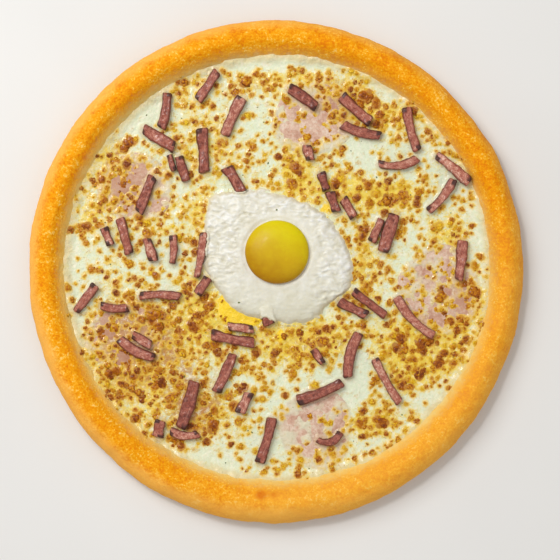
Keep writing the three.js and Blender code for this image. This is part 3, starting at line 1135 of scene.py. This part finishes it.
def bacon_finish():
    """Smoked pink meat with streaks of fat along the grain, which also serve as painted highlight streaks,
    dark where it is seared, with painted shade on its sides.
    """
    m = Finish("fried_bacon")
    along = m.add("UVMap", {"uv_map": "along_the_grain"}, {})
    drawn_out = m.add("VectorMath", {"operation": "MULTIPLY"}, {0: along, 1: (0.16, 1, 1)})
    streaks = m.grain(1 / 0.9, 4, 0.6, 0.6, drawn_out)
    narrow = m.add("VectorMath", {"operation": "MULTIPLY"}, {0: along, 1: (0.5, 3, 1)})
    fibres = m.grain(1 / 1.2, 4, 0.65, 0.0, narrow)
    patchy = m.grain(3.4 * MM, 4, 0.62)
    fine = m.grain(1.1 * MM, 4, 0.65)
    lean, sear, side = m.read("lean"), m.read("sear"), m.read("side")
    share = (fibres - 0.5) * 1.9 + (patchy - 0.5) * 1.5 + (fine - 0.5) * 0.8 + lean * 0.4 + 0.3
    meat = m.ramp(
        share.clip(),
        (0.0, tone(92, 34, 20)),
        (0.3, tone(144, 68, 50)),
        (0.6, tone(176, 98, 76)),
        (0.85, tone(204, 140, 116)),
        (1.0, tone(232, 188, 164)),
    )
    # Paler streaks along the grain: the fat of the bacon, also standing in for painted highlight streaks.
    fat_and_sheen = streaks.over(0.55, 0.7)
    meat = m.blend(fat_and_sheen * 0.45, meat, tone(214, 160, 138))
    # Painted shade on the sides of the strip, deepest low down where they meet the cheese.
    meat = m.blend(side * (0.6 + patchy * 0.8), meat, tone(94, 32, 18))
    browned = (sear + (fibres - 0.5) * 0.8 + (patchy - 0.5) * 0.7).over(0.25, 0.8)
    meat = m.blend(browned * 0.8, meat, tone(92, 32, 14))
    black = (sear + (patchy - 0.5) * 0.9).over(0.6, 1.15)
    meat = m.blend(black * 0.85, meat, tone(50, 14, 8))
    relief = m.bump(fibres, 0.6, 0.6 * MM)
    relief = m.bump(fine, 0.5, 0.4 * MM, relief)
    rough = 0.28 + patchy * 0.28
    return m.surface(
        meat,
        rough,
        relief,
        specular_ior_level=0.4,
        coat_weight=0.28,
        coat_roughness=0.14,
        subsurface_weight=0.04,
        subsurface_scale=1 * MM,
        subsurface_radius=(1.0, 0.3, 0.2),
    )


# ---------------------------------------------------------------- egg

EGG_STEP = 0.5 * MM
EGG_MARGIN = 1.6 * MM


def inside_white(plan):
    """How far each place is inside the scalloped edge of the white."""
    return -egg_outside(plan[:, 0], plan[:, 1]) - 1.3 * MM * fractal(plan, 5 * MM, 3, 21.0)


def make_egg_white(bacon):
    """A sheet laid over the CAD white and the strip ends it covers, wrinkled as it set."""
    low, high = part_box("egg_white")
    middle = (low + high) / 2
    size = max(high.x - low.x, high.y - low.y) + 4 * EGG_MARGIN
    piece = sheet("set_egg_white", size, EGG_STEP, (middle.x, middle.y, 0))
    trim(piece, inside_white(points(piece)[:, :2]) < -EGG_MARGIN)

    plan = points(piece)[:, :2]
    x, y = plan[:, 0], plan[:, 1]
    inside = inside_white(plan)
    low_yolk, high_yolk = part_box("egg_yolk")
    yolk = (low_yolk + high_yolk) / 2
    from_yolk = np.hypot(x - yolk.x, y - yolk.y) - (high_yolk.x - low_yolk.x) / 2
    bed = bed_height(x, y)
    tree = surface_tree(cad_copy("egg_white", "white_form"))
    bed_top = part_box("cheese_bed")[1].z
    form = np.array([drop(tree, *place, bed_top) for place in plan])
    bpy.data.objects.remove(bpy.data.objects["white_form"])
    collar = form[(from_yolk > 0.6 * MM) & (from_yolk < 3 * MM)].mean()
    form = np.where(from_yolk < 0.6 * MM, collar - 0.2 * MM, form)
    strip_tree = surface_tree(*bacon)
    reach = [(0, 0), (MM, 0), (-MM, 0), (0, MM), (0, -MM)]
    strips = np.max([[drop(strip_tree, *place) for place in plan + step] for step in reach], axis=0)
    form = np.maximum(form, strips + 0.25 * MM * smooth_step(inside, 0, 2 * MM))
    height = bed + (form - bed) * smooth_step(inside, -0.8 * MM, 3 * MM) ** 0.6
    height -= 1.2 * MM * (1 - smooth_step(inside, -1.6 * MM, 0))
    move(piece, np.column_stack([x, y, height]))
    modify(piece, "SMOOTH", factor=0.5, iterations=5)
    clear = smooth_step(inside, 0, 1.5 * MM) * 0.9 * MM

    upper = smooth_step(y - yolk.y + 0.35 * (yolk.x - x), -14 * MM, 6 * MM)
    right = smooth_step(x - yolk.x, 18 * MM, 26 * MM)
    away = smooth_step(from_yolk, 1 * MM, 9 * MM)
    amount = away * (0.3 + 0.7 * np.maximum(upper, 0.8 * right))
    warped = plan + 1.4 * MM * np.column_stack(
        [fractal(plan, 7 * MM, 2, 31.0), fractal(plan, 7 * MM, 2, 37.0)]
    )
    rows = fractal(warped * (0.62, 1.25), 2.6 * MM, 2, 41.0)
    folds = fractal(plan, 8 * MM, 2, 47.0)
    ridges = 1 - 2 * np.abs(fractal(warped * (0.8, 1.1), 4.5 * MM, 2, 53.0))
    places = points(piece)
    places[:, 2] += MM * (amount * (0.75 * rows + 0.4 * ridges) + (0.25 + 0.4 * amount) * folds)
    places[:, 2] -= 0.35 * MM * (1 - smooth_step(np.abs(from_yolk - 0.8 * MM), 0, 1.6 * MM))
    places[:, 2] = np.where(inside > 0, np.maximum(places[:, 2], strips + clear), places[:, 2])
    move(piece, places)
    modify(piece, "SMOOTH", factor=0.3, iterations=1)
    paint(piece, "to_edge", inside / MM)
    # The wrinkles' height, which the finish turns into painted shade in their hollows and painted light on
    # their crests.
    paint(piece, "rows", rows * amount)
    close_below(piece, low.z)
    return finish_piece(piece, egg_white_finish(), ["egg_white"])


def egg_white_finish():
    m = Finish("set_egg_white")
    edge, rows = m.read("to_edge"), m.read("rows")
    patchy = m.grain(9 * MM, 3, 0.55)
    blotch = m.grain(3.2 * MM, 4, 0.6)
    fine = m.grain(1.3 * MM, 4, 0.6)
    # The wrinkles' height is painted in as colour: painted shade in their hollows, painted light on their
    # crests.
    share = (patchy - 0.5) * 1.2 + (blotch - 0.5) * 0.6 + (fine - 0.5) * 0.4 + rows * 0.5 + 0.55
    color = m.ramp(
        share.clip(),
        (0.0, tone(206, 199, 174)),
        (0.4, tone(222, 217, 199)),
        (0.7, tone(230, 227, 215)),
        (1.0, tone(240, 239, 234)),
    )
    # Painted shade: the white is darker and greyer towards the bottom.
    lower = 1 - m.axis("Y").over(-24 * MM, 2 * MM)
    color = m.blend(lower * 0.6, color, tone(212, 207, 180))
    thin = 1 - (edge + (patchy - 0.5) * 3 + (blotch - 0.5) * 2).over(-0.6, 3.0)
    color = m.blend(thin * 0.55, color, tone(222, 204, 156))
    relief = m.bump(blotch, 0.3, 0.8 * MM)
    relief = m.bump(fine, 0.35, 0.4 * MM, relief)
    rough = 0.36 + fine * 0.18
    return m.surface(
        color,
        rough,
        relief,
        coat_weight=0.08,
        coat_roughness=0.25,
        subsurface_weight=0.12,
        subsurface_scale=1.2 * MM,
        subsurface_radius=(1.0, 0.85, 0.6),
    )


def make_yolk():
    """A smooth dome with the slack, slightly uneven skin of a soft yolk."""
    low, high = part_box("egg_yolk")
    deselect()
    bpy.ops.mesh.primitive_uv_sphere_add(segments=96, ring_count=48, location=(low + high) / 2)
    piece = bpy.context.active_object
    piece.name = "soft_yolk"
    piece.scale = (high - low) / 2
    settle(piece)
    target = cad_copy("egg_yolk", "yolk_form")
    modify(target, "SUBSURF", levels=2, render_levels=2)
    modify(piece, "SHRINKWRAP", target=target, wrap_method="NEAREST_SURFACEPOINT")
    bpy.data.objects.remove(target)
    modify(piece, "SMOOTH", factor=0.5, iterations=6)
    lump(piece, 16 * MM, 0.7 * MM, 1)
    return finish_piece(piece, yolk_finish(), ["egg_yolk"])


def yolk_finish():
    m = Finish("soft_yolk")
    patchy = m.grain(10 * MM, 3)
    fine = m.grain(2 * MM, 3)
    # Painted light and shade: the yolk is lighter and yellower to the upper right, darker and more orange
    # to the lower left.
    slope = m.axis("X") * 14.0 + m.axis("Y") * 28.0
    color = m.ramp(
        (slope + (patchy - 0.5) * 0.5 + (fine - 0.5) * 0.2 + 0.2).clip(),
        (0.0, tone(178, 124, 0)),
        (0.5, tone(206, 168, 0)),
        (1.0, tone(220, 202, 0)),
    )
    relief = m.bump(fine, 0.1, 0.2 * MM)
    rough = 0.42 + patchy * 0.14
    return m.surface(
        color,
        rough,
        relief,
        specular_ior_level=0.2,
        coat_weight=0.06,
        coat_roughness=0.15,
        subsurface_weight=0.1,
        subsurface_scale=2 * MM,
        subsurface_radius=(1.0, 0.6, 0.05),
    )


# ---------------------------------------------------------------- herbs

HERB_COUNT = 70
EGG_HERBS = [(0.5, 37), (-22, -18.5)]


def make_herbs(cheese, egg_white):
    """Dried herb flecks, each a thin crumpled flake, joined as one piece."""
    dice = np.random.default_rng(SEED + 2)
    tree = surface_tree(cheese, egg_white)
    spots = [(x * MM, y * MM, 0.7 * MM) for x, y in EGG_HERBS]
    while len(spots) < HERB_COUNT:
        turn, share = dice.uniform(0, 2 * math.pi), dice.uniform(0.2, 0.95)
        radius = math.sqrt(share) * bed_radius(turn)
        x, y = radius * math.cos(turn), radius * math.sin(turn)
        place = np.array([x]), np.array([y])
        if egg_outside(*place)[0] > 2 * MM and min(s.away(*place)[0] for s in STRIPS) > 1 * MM:
            spots.append((x, y, dice.uniform(0.25, 0.55) * MM))
    deselect()
    bpy.ops.mesh.primitive_uv_sphere_add(segments=7, ring_count=4, radius=1)
    model = started("herb_model")
    shape = points(model)
    copies = []
    for x, y, size in spots:
        stretch = np.array([dice.uniform(0.9, 1.6), dice.uniform(0.6, 1), 0.4]) * size
        flake = shape * stretch * dice.uniform(0.75, 1.25, (len(shape), 1))
        turn = dice.uniform(0, math.pi)
        across = flake[:, 0] * math.cos(turn) - flake[:, 1] * math.sin(turn)
        over = flake[:, 0] * math.sin(turn) + flake[:, 1] * math.cos(turn)
        copies.append(np.column_stack([x + across, y + over, drop(tree, x, y) + flake[:, 2]]))
    piece = strew("herb_flecks", model, copies)
    bpy.data.objects.remove(model)
    return finish_piece(piece, herb_finish())


def herb_finish():
    m = Finish("herb_flecks")
    fine = m.grain(1 * MM, 3)
    color = m.ramp(fine, (0.3, tone(60, 74, 24)), (0.7, tone(122, 132, 66)))
    return m.surface(color, 0.5 + fine * 0.3, m.bump(fine, 0.4, 0.2 * MM))


# ---------------------------------------------------------------- stage, light and camera


def make_stage():
    deselect()
    bpy.ops.mesh.primitive_plane_add(size=6)
    floor = started("floor")
    m = Finish("floor")
    cloud = m.grain(0.3, 3)
    color = m.ramp(cloud, (0.3, tone(224, 222, 218)), (0.7, tone(232, 230, 226)))
    floor.data.materials.append(m.surface(color, 0.7 + cloud * 0.1, m.bump(cloud, 0.02, MM)))


def add_light(name, place, size, power):
    bpy.ops.object.light_add(type="AREA", location=place)
    light = bpy.context.active_object
    light.name = name
    light.data.size = size
    light.data.energy = power
    light.rotation_euler = Vector(place).to_track_quat("Z", "Y").to_euler()


def make_lights():
    add_light("window", (-0.65, 0.62, 1.2), size=0.8, power=12.0)
    add_light("lamp", (-0.42, 0.5, 1.35), size=0.16, power=3.6)
    add_light("fill", (0.8, -0.6, 1.2), size=1.4, power=2.5)
    world = bpy.data.worlds.new("studio")
    world.use_nodes = True
    background = world.node_tree.nodes["Background"]
    background.inputs["Color"].default_value = (1, 1, 1, 1)
    background.inputs["Strength"].default_value = 0.45
    bpy.context.scene.world = world
    bpy.context.scene.view_settings.view_transform = "Standard"


VIEW_CENTRE = (2.45 * MM, -5.03 * MM)
VIEW_WIDTH = 336 * MM
VIEW_HEIGHT = 1.2


def make_camera():
    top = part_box("cheese_bed")[1].z
    bpy.ops.object.camera_add(location=(*VIEW_CENTRE, top + VIEW_HEIGHT), rotation=(0, 0, 0))
    camera = bpy.context.active_object
    camera.data.lens = camera.data.sensor_width * VIEW_HEIGHT / VIEW_WIDTH
    bpy.context.scene.camera = camera


# ---------------------------------------------------------------- the pizza

make_camera()
ham_material = ham_finish()
bacon_material = bacon_finish()
cheese = make_cheese()
crust = make_crust()
make_curds(cheese, crust)
make_ham()
bacon = make_bacon()
egg_white = make_egg_white(bacon)
make_yolk()
make_herbs(cheese, egg_white)
make_stage()
make_lights()
